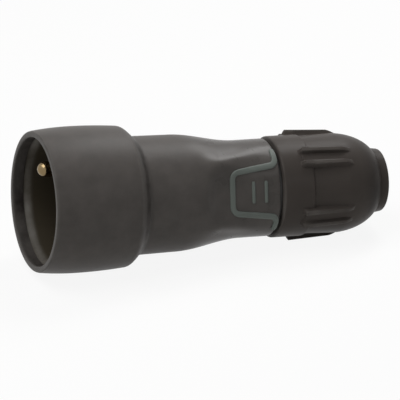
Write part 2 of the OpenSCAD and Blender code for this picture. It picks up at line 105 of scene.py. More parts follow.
# Share of a ridge's rounding that its middle point lies in from the corner
ROUND_IN = 0.3

# Share of a ridge's half width that is cut off its round ends
END_CUT = 0.3

# Shares of half a pitch between which a thread's flank falls
FLANK_TOP = 0.1
FLANK_FOOT = 0.35

# Moulded finishes: roughness, grain and its depth in millimetres, drift of the tone, specular level
MOULDED = {
    "ridge_plastic": (0.5, 0.4, 0.008, 0.06, 0.2),
    "hard_nut": (0.38, 0.5, 0.006, 0.06, 0.06),
    "neck_plastic": (0.45, 0.4, 0.006, 0.08, 0.5),
    "collet_plastic": (0.45, 0.4, 0.006, 0.05, 0.5),
    "insert_plastic": (0.45, 0.5, 0.006, 0.05, 0.07),
    "seal_rubber": (0.6, 0.3, 0.01, 0.05, 0.4),
    "shutter_plastic": (0.42, 0.5, 0.005, 0.03, 0.5),
    "block_plastic": (0.45, 0.5, 0.005, 0.03, 0.5),
}

# Patches a metre in a moulded finish, and how far they change its roughness
MOULD_PATCHES = 90
MOULD_DRIFT = 0.05

# Soft lights: the stage's value for the power, the place from the socket's middle, the width and the depth
LAMPS = {
    "overhead": ("key_power", (-0.22, -0.04, 0.42), 0.4, 0.4),
    "behind": ("back_power", (0.215, 0.205, 0.40), 0.16, 0.3),
    "front": ("front_power", (0.18, -0.4, 0.23), 0.1, 0.1),
}

# Distance up to which the camera sees, in metres
CAMERA_REACH = 10


def length(name, description, default):
    """A size of the model, in metres."""
    return FloatProperty(name=name, description=description, default=default, min=0, precision=5,
                         unit="LENGTH")


def along(name, what, default):
    """A place on the axis, given by its distance from the mouth."""
    return length(name, f"Distance of {what} from the mouth", default)


def angle(name, description, degrees):
    """An angle that is shown in degrees."""
    return FloatProperty(name=name, description=description, default=math.radians(degrees), subtype="ANGLE")


def share(name, description, default):
    """A value from 0 to 1."""
    return FloatProperty(name=name, description=description, default=default, min=0, max=1, subtype="FACTOR")


def power(name, description, watts):
    """Power of a light, in watts."""
    return FloatProperty(name=name, description=description, default=watts, min=0, unit="POWER")


def number(name, description, default, least):
    """A whole number."""
    return IntProperty(name=name, description=description, default=default, min=least)


def colour(name, description, red, green, blue):
    """A colour, given by its linear values."""
    return FloatVectorProperty(name=name, description=description, default=(red, green, blue), min=0, max=1,
                               size=3, subtype="COLOR")


class SocketHousing(bpy.types.PropertyGroup):
    """Sizes of the rubber housing, along the axis from the mouth."""

    mouth_r: length("Mouth radius", "Inner radius of the rubber lip at the mouth", 0.0201)
    rim_r: length("Rim radius", "Outer radius of the rim at the mouth", 0.022)
    rim_round: length("Rim rounding", "Rounding of the rim's outer edge", 0.0005)
    lip_round: length("Lip rounding", "Rounding of the rim's inner edge", 0.0004)
    belly_r: length("Belly radius", "Radius of the collar at its fullest ring", 0.0228)
    belly_at: along("Belly place", "the fullest ring", 0.0125)
    collar_len: along("Collar length", "the collar's rear edge", 0.0282)
    collar_back_r: length("Collar rear radius", "Radius of the collar at its rear edge", 0.02205)
    shoulder_len: length("Shoulder length", "Length of the shoulder between collar and body", 0.0038)
    body_r: length("Body radius", "Radius of the body behind the shoulder", 0.01855)
    body_len: length("Body length", "Length of the straight body", 0.0127)
    body_draft: length("Body draft", "Narrowing of the straight body over its length", 0.00025)
    taper_len: length("Taper length", "Length of the taper from body to grip", 0.0225)
    grip_len: length("Grip length", "Length of the grip behind the taper", 0.0092)
    grip_r: length("Grip radius", "Radius of the grip", 0.0153)
    grip_round: length("Grip rounding", "Rounding of the grip's rear edge", 0.0006)
    edge_soft: length("Edge softness", "Half length over which the outer line is rounded", 0.0005)
    insert_r: length("Insert seat radius", "Radius of the seat of the insert", 0.02065)
    cavity_r: length("Cavity radius", "Radius of the space behind the insert", 0.0156)
    neck_r: length("Neck seat radius", "Radius of the hole for the neck", 0.01125)
    panel_d: length("Panel distance", "Distance of a grip panel from the axis", 0.0141)
    panel_at: along("Panel place", "the flat of a panel", 0.06)
    panel_run: length("Panel run-out", "Radius of the run-out at the front of a panel", 0.012)
    panel_soft: length("Panel softness", "Width over which a panel's edge is rounded", 0.0011)
    crest_h: length("Crest height", "Height of the rounded crests along the corners of the grip", 0.0011)
    crest_at: length("Crest place", "Distance from the mouth where the crests begin", 0.0485)
    crest_rise: length("Crest rise", "Length over which a crest rises", 0.0085)
    crest_end: length("Crest end", "Distance from the mouth where the crests have run out", 0.0745)
    crest_from: angle("Crest start", "Angle of a crest from the panel's middle where it is highest", 33)
    crest_to: angle("Crest finish", "Angle of a crest from the panel's middle at its end", 54)
    crest_w: angle("Crest width", "Angle over which a crest falls off", 11)
    steps: number("Steps", "Steps of the housing round its axis", 240, 48)


class SocketRidges(bpy.types.PropertyGroup):
    """Sizes of the ridges on the grip panels."""

    hat_at: along("Hat place", "the hat's crown", 0.0605)
    hat_len: length("Hat length", "Length of the hat along the socket", 0.015)
    hat_crown: length("Crown half", "Half height of the hat at its crown", 0.0063)
    hat_brim: length("Brim half", "Half height of the hat at its brim", 0.0081)
    hat_end: length("Brim end", "Half height to the ends of the brim", 0.0124)
    hat_corner: length("Hat corner", "Radius of the hat's corners", 0.0022)
    ridge_w: length("Ridge width", "Width of the hat-shaped ridge", 0.0018)
    ridge_h: length("Ridge height", "Height of the ridges above the grip", 0.00045)
    ridge_set: length("Ridge root", "Depth of the ridges in the grip", 0.0005)
    ridge_round: length("Ridge rounding", "Rounding of a ridge's edges", 0.0003)
    bar_w: length("Bar width", "Width of a short bar", 0.0011)
    bar_half: length("Bar half length", "Half length of a short bar", 0.0034)
    bar_front: length("Front bar", "Distance of the front bar from the crown", 0.007)
    bar_rear: length("Rear bar", "Distance of the rear bar from the crown", 0.0112)


class SocketNut(bpy.types.PropertyGroup):
    """Sizes of the gland nut, along the axis from the mouth."""

    front: along("Nut place", "the nut's front", 0.0774)
    bore_r: length("Nut bore", "Bore radius of the nut", 0.0115)
    floor: along("Nut floor", "the floor of the bore", 0.1081)
    ring_r: length("Ring radius", "Outer radius of the front ring", 0.0159)
    ring_len: length("Ring length", "Length of the front ring", 0.0101)
    step: length("Step", "Depth of the step behind the front ring", 0.00065)
    step_round: length("Step rounding", "Rounding of the ring's rear edge at the step", 0.00035)
    edge_round: length("Edge rounding", "Rounding of the front edge and of the lip", 0.0006)
    dome_r: length("Dome radius", "Radius where the dome begins", 0.01565)
    dome_at: along("Dome place", "the dome", 0.098)
    dome_blend: length("Dome blend", "Length of the blend from the panels to the dome", 0.0015)
    dome_core: length("Dome core", "Radius of the core that the dome closes on", 0.006)
    dome_share: share("Dome share", "Share of the dome's sweep that shows in front of the lip", 0.9)
    lip_at: along("Lip place", "the rear lip", 0.1118)
    lip_r: length("Lip radius", "Radius of the rear lip", 0.0099)
    end: along("Nut end", "the nut's rear end", 0.1148)
    entry_r: length("Cable hole", "Radius of the cable hole", 0.0072)
    ribs: number("Ribs", "Number of ribs", 5, 3)
    rib_w: length("Rib width", "Width of a rib", 0.006)
    rib_soft: length("Rib softness", "Half width over which a rib's edges are rounded", 0.0003)
    rib_at: along("Rib place", "a rib's front", 0.083)
    rib_lead: length("Rib lead", "Length of the fine rings in front of the ribs", 0.0005)
    rib_sink: length("Rib foot", "Depth of the foot of a rib's front slope below the ring", 0.0013)
    rib_ramp: length("Rib slope", "Length of the slope at the front of a rib", 0.0018)
    rib_len: length("Rib crest", "Length of a rib's crest", 0.0134)
    rib_tail: length("Rib tail", "Length of the run-out at a rib's rear", 0.0038)
    rib_drop: length("Rib drop", "Drop of the crest over the run-out", 0.0018)
    rib_front_r: length("Rib front radius", "Radius of a rib's crest at the front", 0.0173)
    rib_rear_r: length("Rib rear radius", "Radius of a rib's crest at the rear", 0.0166)
    groove_w: length("Groove width", "Width of the groove between a rib's crests", 0.0028)
    groove_d: length("Groove depth", "Depth of the groove between a rib's crests", 0.0011)
    steps: number("Steps", "Steps of the nut round its axis", 480, 120)


class SocketNeck(bpy.types.PropertyGroup):
    """Sizes of the threaded neck inside the nut."""

    radius: length("Neck radius", "Outer radius of the neck", 0.0112)
    bore_r: length("Neck bore", "Bore radius of the neck", 0.0086)
    end: along("Neck end", "the neck's end", 0.098)
    end_bevel: length("End bevel", "Bevel at the neck's end", 0.0004)
    flange_at: along("Flange place", "the flange", 0.0458)
    flange_end: along("Flange end", "the flange's rear face", 0.0483)
    flange_r: length("Flange radius", "Radius of the flange in the housing", 0.0154)
    pitch: length("Thread pitch", "Pitch of the thread", 0.003)
    thread_d: length("Thread depth", "Depth of the thread", 0.0009)
    thread_off: length("Thread start", "Distance from the grip to the start of the thread", 0.0015)
    thread_fade: length("Thread run-in", "Length over which the thread gets its full depth", 0.002)
    steps: number("Steps", "Steps of the neck round its axis", 120, 48)


class SocketInsert(bpy.types.PropertyGroup):
    """Sizes of the hard cup in the collar, along the axis from the mouth."""

    recess_r: length("Recess radius", "Radius of the recess for the plug", 0.0193)
    outer_r: length("Cup radius", "Outer radius of the cup", 0.0206)
    rim_at: along("Rim place", "the cup's rim", 0.0035)
    bevel_len: length("Bevel length", "Length of the bevel on the rim", 0.0023)
    face_at: along("Face place", "the contact face", 0.0155)
    face_t: length("Face thickness", "Thickness of the contact face", 0.003)
    skirt_r: length("Skirt radius", "Inner radius of the skirt behind the face", 0.0186)
    end: along("Cup end", "the cup's rear end", 0.0245)
    corner: length("Corner rounding", "Rounding between the recess and the face", 0.0008)
    edge: length("Edge rounding", "Rounding of the rim's edges", 0.00025)
    pitch: length("Contact pitch", "Distance between the contact holes", 0.019)
    hole_r: length("Contact hole", "Radius of a contact hole", 0.0026)
    hole_bevel: length("Hole bevel", "Lead-in bevel of a contact hole", 0.0006)
    hole_steps: number("Hole steps", "Steps of a hole round its middle", 64, 16)
    pin_off: length("Pin place", "Distance of the earth pin from the axis", 0.01)
    pin_r: length("Pin hole", "Radius of the hole for the earth pin", 0.00285)
    steps: number("Steps", "Steps of the cup round its axis", 160, 48)


class SocketColours(bpy.types.PropertyGroup):
    """Colours of the finishes."""

    rubber: colour("Rubber", "Warm dark grey of the moulded rubber", 0.082, 0.0745, 0.069)
    # Scuffed edges on the collar's rear edge; on the rim at the mouth this paler tone is also a painted highlight
    scuff_and_highlight: colour("Scuff", "Grey of the rubber where its edges are worn", 0.104, 0.097, 0.090)
    # Painted shade: a dark tone laid in the corner behind the collar, on the shoulder and inside the lip, where
    # shade falls
    painted_shade: colour("Grime", "Dark dust inside the lip and behind the collar", 0.021, 0.018, 0.016)
    ridge: colour("Ridge", "Grey green of the ridges on the grip", 0.128, 0.146, 0.132)
    insert: colour("Insert", "Dark plastic of the insert", 0.046, 0.038, 0.026)
    # Painted light: a pale tone over the insert's whole bevel, laid over scuffs
    insert_light_and_wear: colour("Worn insert", "Scuffed plastic on the rim of the insert", 0.180, 0.170, 0.156)
    nut: colour("Nut", "Brownish black of the hard nut", 0.060, 0.0515, 0.046)
    nut_worn: colour("Worn nut", "Rubbed plastic on the edges of the nut", 0.105, 0.096, 0.088)
    # Painted shade: a dark tone on the rear of the dome in front of the nut's lip
    nut_painted_shade: colour("Nut grime", "Dark dust on the dome in front of the nut's lip", 0.020, 0.017, 0.015)
    neck: colour("Neck", "Dark plastic of the neck and collet", 0.050, 0.046, 0.042)
    seal: colour("Seal", "Soft black rubber of the seals", 0.022, 0.021, 0.020)
    shutter: colour("Shutter", "Ivory plastic of the shutter", 0.68, 0.64, 0.55)
    block: colour("Block", "Pale plastic of the terminal block", 0.78, 0.75, 0.68)
    brass: colour("Brass", "Drawn brass of the contacts", 0.78, 0.57, 0.24)
    pin: colour("Pin", "Polished brass of the earth pin", 0.22, 0.16, 0.085)
    steel: colour("Steel", "Zinc-plated steel of the screws and springs", 0.56, 0.57, 0.58)
    floor: colour("Floor", "Pale floor", 0.9, 0.9, 0.89)


class SocketMarks(bpy.types.PropertyGroup):
    """Reach of the scuffs, painted shade and painted highlight, and gloss of the rubber."""

    # The rim's reach covers scuffs and a painted highlight on the rim
    rim_scuff_and_highlight: length("Rim scuff", "Reach of the scuffs on the rim", 0.0012)
    edge_scuff: length("Edge scuff", "Reach of the scuffs on the collar's rear edge", 0.0006)
    # Painted shade: the next three sizes place the dark band in the corner behind the collar, on the shoulder and
    # inside the lip
    corner_shade_off: length("Corner dust place", "Distance of the thickest dust from the corner", 0.0011)
    corner_shade: length("Corner dust", "Reach of the dust in the corner behind the collar", 0.0026)
    lip_and_shoulder_shade: length("Lip dust", "Reach of the dust inside the lip, and of that on the shoulder", 0.0014)
    nut_rub: length("Nut rub", "Reach of the rubbed places on the nut's edges", 0.0008)
    # Painted shade: place and reach of the dark band on the rear of the nut's dome
    dome_shade_off: length("Dome dust place", "Distance of the thickest dust from the nut's lip", 0.002)
    dome_shade: length("Dome dust", "Reach of the dust on the dome", 0.006)
    held_from: length("Held from", "Distance from the mouth where rubber begins to shine from use", 0.045)
    held_to: length("Held to", "Distance from the mouth where that shine is full", 0.055)
    matt: share("Matt rubber", "Roughness of the rubber on the collar", 0.42)
    held: share("Held rubber", "Roughness of the rubber where the grip is held", 0.26)
    drift: share("Gloss drift", "Roughness that the patches add to the rubber", 0.07)


class SocketStage(bpy.types.PropertyGroup):
    """Camera and light."""

    azimuth: angle("Azimuth", "Direction that the camera looks from, round the vertical", -20.3)
    elevation: angle("Elevation", "Height of the camera above the horizon", 22.6)
    lens: FloatProperty(name="Lens", description="Focal length in millimetres", default=700, min=20)
    view_w: length("View width", "Width that the camera sees at the socket", 0.1238)
    mouth_left: length("Mouth place", "Distance of the mouth's middle left of the view's middle", 0.0514)
    mouth_low: length("Mouth drop", "Distance of the mouth's middle below the view's middle", 0.00063)
    key_power: power("Key light", "Power of the light overhead", 1.6)
    back_power: power("Back light", "Power of the light behind", 1.35)
    front_power: power("Front light", "Power of the light in front", 0.11)
    ambient: share("Ambient", "Strength of the light from all round", 0.02)
    floor_size: length("Floor size", "Side of the floor", 3.0)
    floor_white: share("Floor white", "Share of plain white in the floor as it is seen", 0.9)


def smooth_step(low, high, value):
    """0 below low, 1 above high, and a soft slope between."""
    t = min(max((value - low) / (high - low), 0), 1)
    return t * t * (3 - 2 * t)


def smooth_least(a, b, width):
    """The lesser of two values, rounded where they meet."""
    h = min(max(0.5 + 0.5 * (b - a) / width, 0), 1)
    return b + (a - b) * h - width * h * (1 - h)


def spaced(start, end, gap):
    """Even places from start to end, no further apart than gap."""
    count = max(1, math.ceil(abs(end - start) / gap))
    return [start + (end - start) * i / count for i in range(count + 1)]


def arc(x, r, radius, start, end, steps):
    """Points of an arc round (x, r), between two angles in degrees."""
    turns = [math.radians(start + (end - start) * i / steps) for i in range(steps + 1)]
    return [(x + radius * math.cos(turn), r + radius * math.sin(turn)) for turn in turns]


def mouth_place():
    """Middle of the mouth."""
    return NUT_PLACE - AXIS * bpy.context.scene.socket_nut.front


def lie(up):
    """Matrix from the axis frame to the socket's place: x along the axis from the mouth, z along up."""
    across = up.cross(AXIS)
    turn = Matrix((AXIS, across, up)).transposed().to_4x4()
    return Matrix.Translation(mouth_place()) @ turn


def begin():
    """Leaves edit mode and deselects everything, so that the next operator acts on the new piece alone."""
    if bpy.context.mode != "OBJECT":
        bpy.ops.object.mode_set(mode="OBJECT")
    bpy.ops.object.select_all(action="DESELECT")


def pick(piece):
    """Selects one piece alone and makes it active."""
    begin()
    piece.select_set(True)
    bpy.context.view_layer.objects.active = piece


def new_ring(name, places, fill):
    """A ring of points at the given places, left in edit mode with all of it selected."""
    begin()
    bpy.ops.mesh.primitive_circle_add(vertices=len(places), radius=1, fill_type=fill)
    piece = bpy.context.object
    piece.name = piece.data.name = name
    for vertex, place in zip(piece.data.vertices, places):
        vertex.co = place
    bpy.ops.object.mode_set(mode="EDIT")
    bpy.ops.mesh.select_all(action="SELECT")
    return piece


def turn_out():
    """Turns the faces of the edited mesh outwards and leaves edit mode."""
    bpy.ops.mesh.select_all(action="SELECT")
    bpy.ops.mesh.normals_make_consistent(inside=False)
    bpy.ops.object.mode_set(mode="OBJECT")


def spin_shape(name, outline, steps):
    """A closed skin: a closed outline of (x, radius) points, spun round the x axis."""
    piece = new_ring(name, [(x, 0, r) for x, r in outline], "NOTHING")
    bpy.ops.mesh.spin(steps=steps, angle=2 * math.pi, center=(0, 0, 0), axis=(1, 0, 0))
    bpy.ops.mesh.select_all(action="SELECT")
    bpy.ops.mesh.remove_doubles(threshold=WELD)
    bpy.ops.mesh.delete_loose()
    turn_out()
    return piece


def merge_flat(piece, x):
    """Makes one face of the flat disc across the axis at x, so that holes cut it cleanly."""
    pick(piece)
    bpy.ops.object.mode_set(mode="EDIT")
    bpy.ops.mesh.select_mode(type="FACE")
    bpy.ops.mesh.select_all(action="DESELECT")
    mesh = bmesh.from_edit_mesh(piece.data)
    for face in mesh.faces:
        face.select_set(all(abs(vertex.co.x - x) < WELD for vertex in face.verts))
    bmesh.update_edit_mesh(piece.data)
    bpy.ops.mesh.dissolve_faces()
    bpy.ops.object.mode_set(mode="OBJECT")


def cut_hole(piece, outline, steps, y, z):
    """Cuts a round hole along x through a piece: the hole's outline is spun, and laid at y and z."""
    cutter = spin_shape("cutter", outline, steps)
    cutter.data.transform(Matrix.Translation((0, y, z)))
    bpy.context.view_layer.objects.active = piece
    cut = piece.modifiers.new("hole", "BOOLEAN")
    cut.operation = "DIFFERENCE"
    cut.object = cutter
    bpy.ops.object.modifier_apply(modifier=cut.name)
    pick(cutter)
    bpy.ops.object.delete()


def sweep_shape(name, sections):
    """A closed bar: the first section filled, then extruded from section to section."""
    piece = new_ring(name, sections[0], "NGON")
    bpy.ops.mesh.select_mode(type="FACE")
    bpy.ops.mesh.select_all(action="SELECT")
    for before, after in zip(sections, sections[1:]):
        bpy.ops.mesh.extrude_region_move()
        mesh = bmesh.from_edit_mesh(piece.data)
        for vertex in [v for v in mesh.verts if v.select]:
            nearest = min(range(len(before)), key=lambda k: (vertex.co - before[k]).length_squared)
            vertex.co = after[nearest]
        bmesh.update_edit_mesh(piece.data)
    bpy.ops.mesh.select_all(action="SELECT")
    bpy.ops.mesh.fill_holes(sides=0)
    turn_out()
    return piece


def join_pieces(name, pieces):
    """Several meshes made into one piece."""
    pick(pieces[0])
    for piece in pieces:
        piece.select_set(True)
    bpy.ops.object.join()
    piece = bpy.context.object
    piece.name = piece.data.name = name
    return piece


def smooth_copy(node):
    """A merged copy of a CAD node's mesh, with the node's name and a tail."""
    original = frame["nodes"][node]
    piece = bpy.data.objects.new(f"{node}_skin", original.data.copy())
    bpy.context.scene.collection.objects.link(piece)
    pick(piece)
    bpy.ops.object.mode_set(mode="EDIT")
    bpy.ops.mesh.select_all(action="SELECT")
    bpy.ops.mesh.remove_doubles(threshold=WELD)
    bpy.ops.object.mode_set(mode="OBJECT")
    return piece


def finish_piece(piece, body, slot, material, *nodes, matrix=None, sharp=35):
    """Lays a piece in its place, shades it, gives it its material, hangs it on its body and hides the nodes it
    stands for.
    """
    if matrix is not None:
        piece.data.transform(matrix)
    pick(piece)
    bpy.ops.object.shade_smooth_by_angle(angle=math.radians(sharp))
    piece.data.materials.clear()
    piece.data.materials.append(material)
    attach(piece, body)
    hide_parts(*nodes)


def add_node(tree, kind, values=None, **settings):
    """A shader node with its settings, and with values on its input sockets."""
    made = tree.nodes.new(kind)
    for name, value in settings.items():
        setattr(made, name, value)
    for socket, value in (values or {}).items():
        made.inputs[socket].default_value = value
    return made


def link(tree, *wires):
    """Links nodes: each wire is a node, its output, the next node and its input."""
    for source, output, target, socket in wires:
        tree.links.new(source.outputs[output], target.inputs[socket])


def group_sockets(name, inputs, outputs):
    """A new shader node group with its sockets, and its input and output nodes."""
    tree = bpy.data.node_groups.new(name, "ShaderNodeTree")
    for way, sockets in (("INPUT", inputs), ("OUTPUT", outputs)):
        for label, kind in sockets.items():
            tree.interface.new_socket(label, in_out=way, socket_type=f"NodeSocket{kind}")
    return tree, add_node(tree, "NodeGroupInput"), add_node(tree, "NodeGroupOutput")


def moulded_skin():
    """Node group for moulded surfaces: a fine grain as height, and broad patches of tone."""
    name = "moulded_skin"
    if name in bpy.data.node_groups:
        return bpy.data.node_groups[name]
    inputs = {"Place": "Vector", "Grain scale": "Float", "Patch scale": "Float"}
    tree, source, result = group_sockets(name, inputs, {"Height": "Float", "Patches": "Float"})
    grain = add_node(tree, "ShaderNodeTexNoise", {"Detail": 3})
    patches = add_node(tree, "ShaderNodeTexNoise", {"Detail": 4})
    spread = add_node(tree, "ShaderNodeMapRange", {"From Min": 0.3, "From Max": 0.7})
    link(tree, (source, "Place", grain, "Vector"), (source, "Grain scale", grain, "Scale"),
         (source, "Place", patches, "Vector"), (source, "Patch scale", patches, "Scale"),
         (grain, "Fac", result, "Height"), (patches, "Fac", spread, "Value"),
         (spread, "Result", result, "Patches"))
    return tree


def axis_place():
    """Node group that gives a place's distance from the mouth along the axis, and its radius."""
    name = "axis_place"
    if name in bpy.data.node_groups:
        return bpy.data.node_groups[name]
    tree, source, result = group_sockets(name, {"Place": "Vector"}, {"Distance": "Float", "Radius": "Float"})
    off = add_node(tree, "ShaderNodeVectorMath", {1: mouth_place()}, operation="SUBTRACT")
    run = add_node(tree, "ShaderNodeVectorMath", {1: AXIS}, operation="DOT_PRODUCT")
    across = add_node(tree, "ShaderNodeVectorMath", {1: AXIS}, operation="CROSS_PRODUCT")
    radius = add_node(tree, "ShaderNodeVectorMath", operation="LENGTH")
    link(tree, (source, "Place", off, 0), (off, "Vector", run, 0), (off, "Vector", across, 0),
         (across, "Vector", radius, 0), (run, "Value", result, "Distance"),
         (radius, "Value", result, "Radius"))
    return tree


def worn_edge():
    """Node group for a band along an edge, used for scuffs, painted shade and painted light: full where a value is
    at the edge, fading over a reach, and patchy.
    """
    name = "worn_edge"
    if name in bpy.data.node_groups:
        return bpy.data.node_groups[name]
    inputs = {"Value": "Float", "Edge": "Float", "Reach": "Float", "Patches": "Float"}
    tree, source, result = group_sockets(name, inputs, {"Mask": "Float"})
    off = add_node(tree, "ShaderNodeMath", operation="SUBTRACT")
    side = add_node(tree, "ShaderNodeMath", operation="ABSOLUTE")
    fade = add_node(tree, "ShaderNodeMapRange", {"To Min": 1, "To Max": 0}, interpolation_type="SMOOTHSTEP")
    patchy = add_node(tree, "ShaderNodeMath", operation="MULTIPLY")
    link(tree, (source, "Value", off, 0), (source, "Edge", off, 1), (off, "Value", side, 0),
         (side, "Value", fade, "Value"), (source, "Reach", fade, "From Max"), (fade, "Result", patchy, 0),
         (source, "Patches", patchy, 1), (patchy, "Value", result, "Mask"))
    return tree


def new_finish(name, base, change, grain, patches, depth):
    """A material whose base colour drifts with the skin group's patches, with a bump from its grain."""
    material = bpy.data.materials.new(name)
    material.use_nodes = True
    tree = material.node_tree
    shader = tree.nodes["Principled BSDF"]
    place = add_node(tree, "ShaderNodeTexCoord")
    scales = {"Grain scale": grain, "Patch scale": patches}
    skin = add_node(tree, "ShaderNodeGroup", scales, node_tree=moulded_skin())
    dark = (*[c * (1 - change) for c in base], 1)
    light = (*[min(1, c * (1 + change)) for c in base], 1)
    mix = add_node(tree, "ShaderNodeMix", {"A": dark, "B": light}, data_type="RGBA")
    bump = add_node(tree, "ShaderNodeBump", {"Strength": 1, "Distance": depth})
    link(tree, (place, "Object", skin, "Place"), (skin, "Patches", mix, "Factor"),
         (mix, "Result", shader, "Base Color"), (skin, "Height", bump, "Height"),
         (bump, "Normal", shader, "Normal"))
    return material, shader, skin


def rough_range(material, skin, shader, low, high):
    """Roughness that drifts with the patches."""
    spread = add_node(material.node_tree, "ShaderNodeMapRange", {"To Min": low, "To Max": high})
    link(material.node_tree, (skin, "Patches", spread, "Value"), (spread, "Result", shader, "Roughness"))


def moulded_finish(name, base):
    """Moulded rubber or plastic: drifting tone and gloss over a fine grain."""
    rough, grain_mm, depth_mm, change, specular = MOULDED[name]
    material, shader, skin = new_finish(name, base, change, 1000 / grain_mm, MOULD_PATCHES, depth_mm / 1000)
    shader.inputs["Specular IOR Level"].default_value = specular
    rough_range(material, skin, shader, rough - MOULD_DRIFT, rough + MOULD_DRIFT)
    return material


def metal_finish(name, base, bright, tarnished):
    """Drawn metal with a slight tarnish, between two values of roughness."""
    material, shader, skin = new_finish(name, base, change=0.1, grain=4000, patches=300, depth=0.000004)
    shader.inputs["Metallic"].default_value = 1
    rough_range(material, skin, shader, bright, tarnished)
    return material


def tone_bands(material, tone, *edges):
    """Mixes a tone into a finish along edges, each a socket of axis_place with its place and reach; the tone is
    scuffs on some edges, painted shade and painted light on others.
    """
    tree = material.node_tree
    shader = tree.nodes["Principled BSDF"]
    skin = next(node for node in tree.nodes if node.type == "GROUP")
    coordinates = add_node(tree, "ShaderNodeTexCoord")
    place = add_node(tree, "ShaderNodeGroup", node_tree=axis_place())
    link(tree, (coordinates, "Object", place, "Place"))
    for socket, edge, reach in edges:
        band = add_node(tree, "ShaderNodeGroup", {"Edge": edge, "Reach": reach}, node_tree=worn_edge())
        mix = add_node(tree, "ShaderNodeMix", {"B": (*tone, 1)}, data_type="RGBA")
        tree.links.new(shader.inputs["Base Color"].links[0].from_socket, mix.inputs["A"])
        link(tree, (place, socket, band, "Value"), (skin, "Patches", band, "Patches"),
             (band, "Mask", mix, "Factor"), (mix, "Result", shader, "Base Color"))
    return place


def rubber_finish(shape, colours, marks):
    """Moulded rubber: matt on the collar, smoother where held, with painted shade in the corner behind the collar,
    on the shoulder and inside the lip, and scuffed edges with a painted highlight on the rim.
    """
    material, shader, skin = new_finish("moulded_rubber", colours.rubber, change=0.11, grain=3000,
                                        patches=180, depth=0.000012)
    tree = material.node_tree
    shader.inputs["Specular IOR Level"].default_value = 0.11
    corner = shape.collar_len + shape.shoulder_len
    # Painted shade in the corner behind the collar, and on the shoulder and inside the lip near the mouth's radius
    tone_bands(material, colours.painted_shade, ("Distance", corner - marks.corner_shade_off, marks.corner_shade),
               ("Radius", shape.mouth_r, marks.lip_and_shoulder_shade))
    # Scuffs on the collar's rear edge; on the rim the pale tone is also a painted highlight
    place = tone_bands(material, colours.scuff_and_highlight, ("Distance", 0, marks.rim_scuff_and_highlight),
                       ("Distance", shape.collar_len, marks.edge_scuff))
    gloss = {"From Min": marks.held_from, "From Max": marks.held_to, "To Min": marks.matt, "To Max": marks.held}
    held = add_node(tree, "ShaderNodeMapRange", gloss, interpolation_type="SMOOTHSTEP")
    drift = add_node(tree, "ShaderNodeMath", {1: marks.drift}, operation="MULTIPLY_ADD")
    link(tree, (place, "Distance", held, "Value"), (skin, "Patches", drift, 0), (held, "Result", drift, 2),
         (drift, "Value", shader, "Roughness"))
    return material


def collar_line(shape, x):
    """Radius of the collar, fullest at its belly."""
    if x < shape.belly_at:
        edge, reach = shape.rim_r, shape.belly_at
    else:
        edge, reach = shape.collar_back_r, shape.collar_len - shape.belly_at
    return shape.belly_r - (shape.belly_r - edge) * ((x - shape.belly_at) / reach) ** 2


def housing_line(shape, x):
    """Radius of the housing's round form before its edges are softened and its panels cut."""
    shoulder = (x - shape.collar_len) / shape.shoulder_len
    body = (x - shape.collar_len - shape.shoulder_len) / shape.body_len
    taper = (x - shape.collar_len - shape.shoulder_len - shape.body_len) / shape.taper_len
    if shoulder < 0:
        return collar_line(shape, x)
    if body < 0:
        return shape.collar_back_r - (shape.collar_back_r - shape.body_r) * shoulder ** SHOULDER_CURVE
    if taper < 0:
        return shape.body_r - shape.body_draft * body
    wide = shape.body_r - shape.body_draft
    return wide - (wide - shape.grip_r) * (1 - math.cos(math.pi * min(taper, 1))) / 2


def housing_radius(shape, x):
    """Radius of the housing with its edges softened: the mean of the line over a short stretch."""
    stretch = spaced(-shape.edge_soft, shape.edge_soft, shape.edge_soft / 4)
    return sum(housing_line(shape, x + dx) for dx in stretch) / len(stretch)


def grip_end(shape):
    """Distance of the grip's rear end from the mouth."""
    return shape.collar_len + shape.shoulder_len + shape.body_len + shape.taper_len + shape.grip_len


def panel_line(shape, x):
    """Distance of a grip panel from the axis: a flat with a round run-out at its front."""
    ahead = min(max(shape.panel_at - x, 0), shape.panel_run)
    return shape.panel_d + shape.panel_run - math.sqrt(shape.panel_run ** 2 - ahead ** 2)


def crest_lift(shape, x, y, z):
    """Height of the rounded crests that run along the grip's four corners."""
    full = shape.crest_at + shape.crest_rise
    height = smooth_step(shape.crest_at, full, x) * (1 - smooth_step(full, shape.crest_end, x))
    run = min(max((x - full) / (shape.crest_end - full), 0), 1)
    place = shape.crest_from + (shape.crest_to - shape.crest_from) * run
    off = (math.atan2(abs(z), abs(y)) - place) / shape.crest_w
    return shape.crest_h * height * math.exp(-off ** 2)


def grip_distance(shape, x, z):
    """Distance of the grip's side from its middle plane, at a place on its side view."""
    round_side = math.sqrt(max(housing_radius(shape, x) ** 2 - z ** 2, 0))
    side = smooth_least(round_side, panel_line(shape, x), shape.panel_soft)
    return side + crest_lift(shape, x, side, z) * side / math.hypot(side, z)


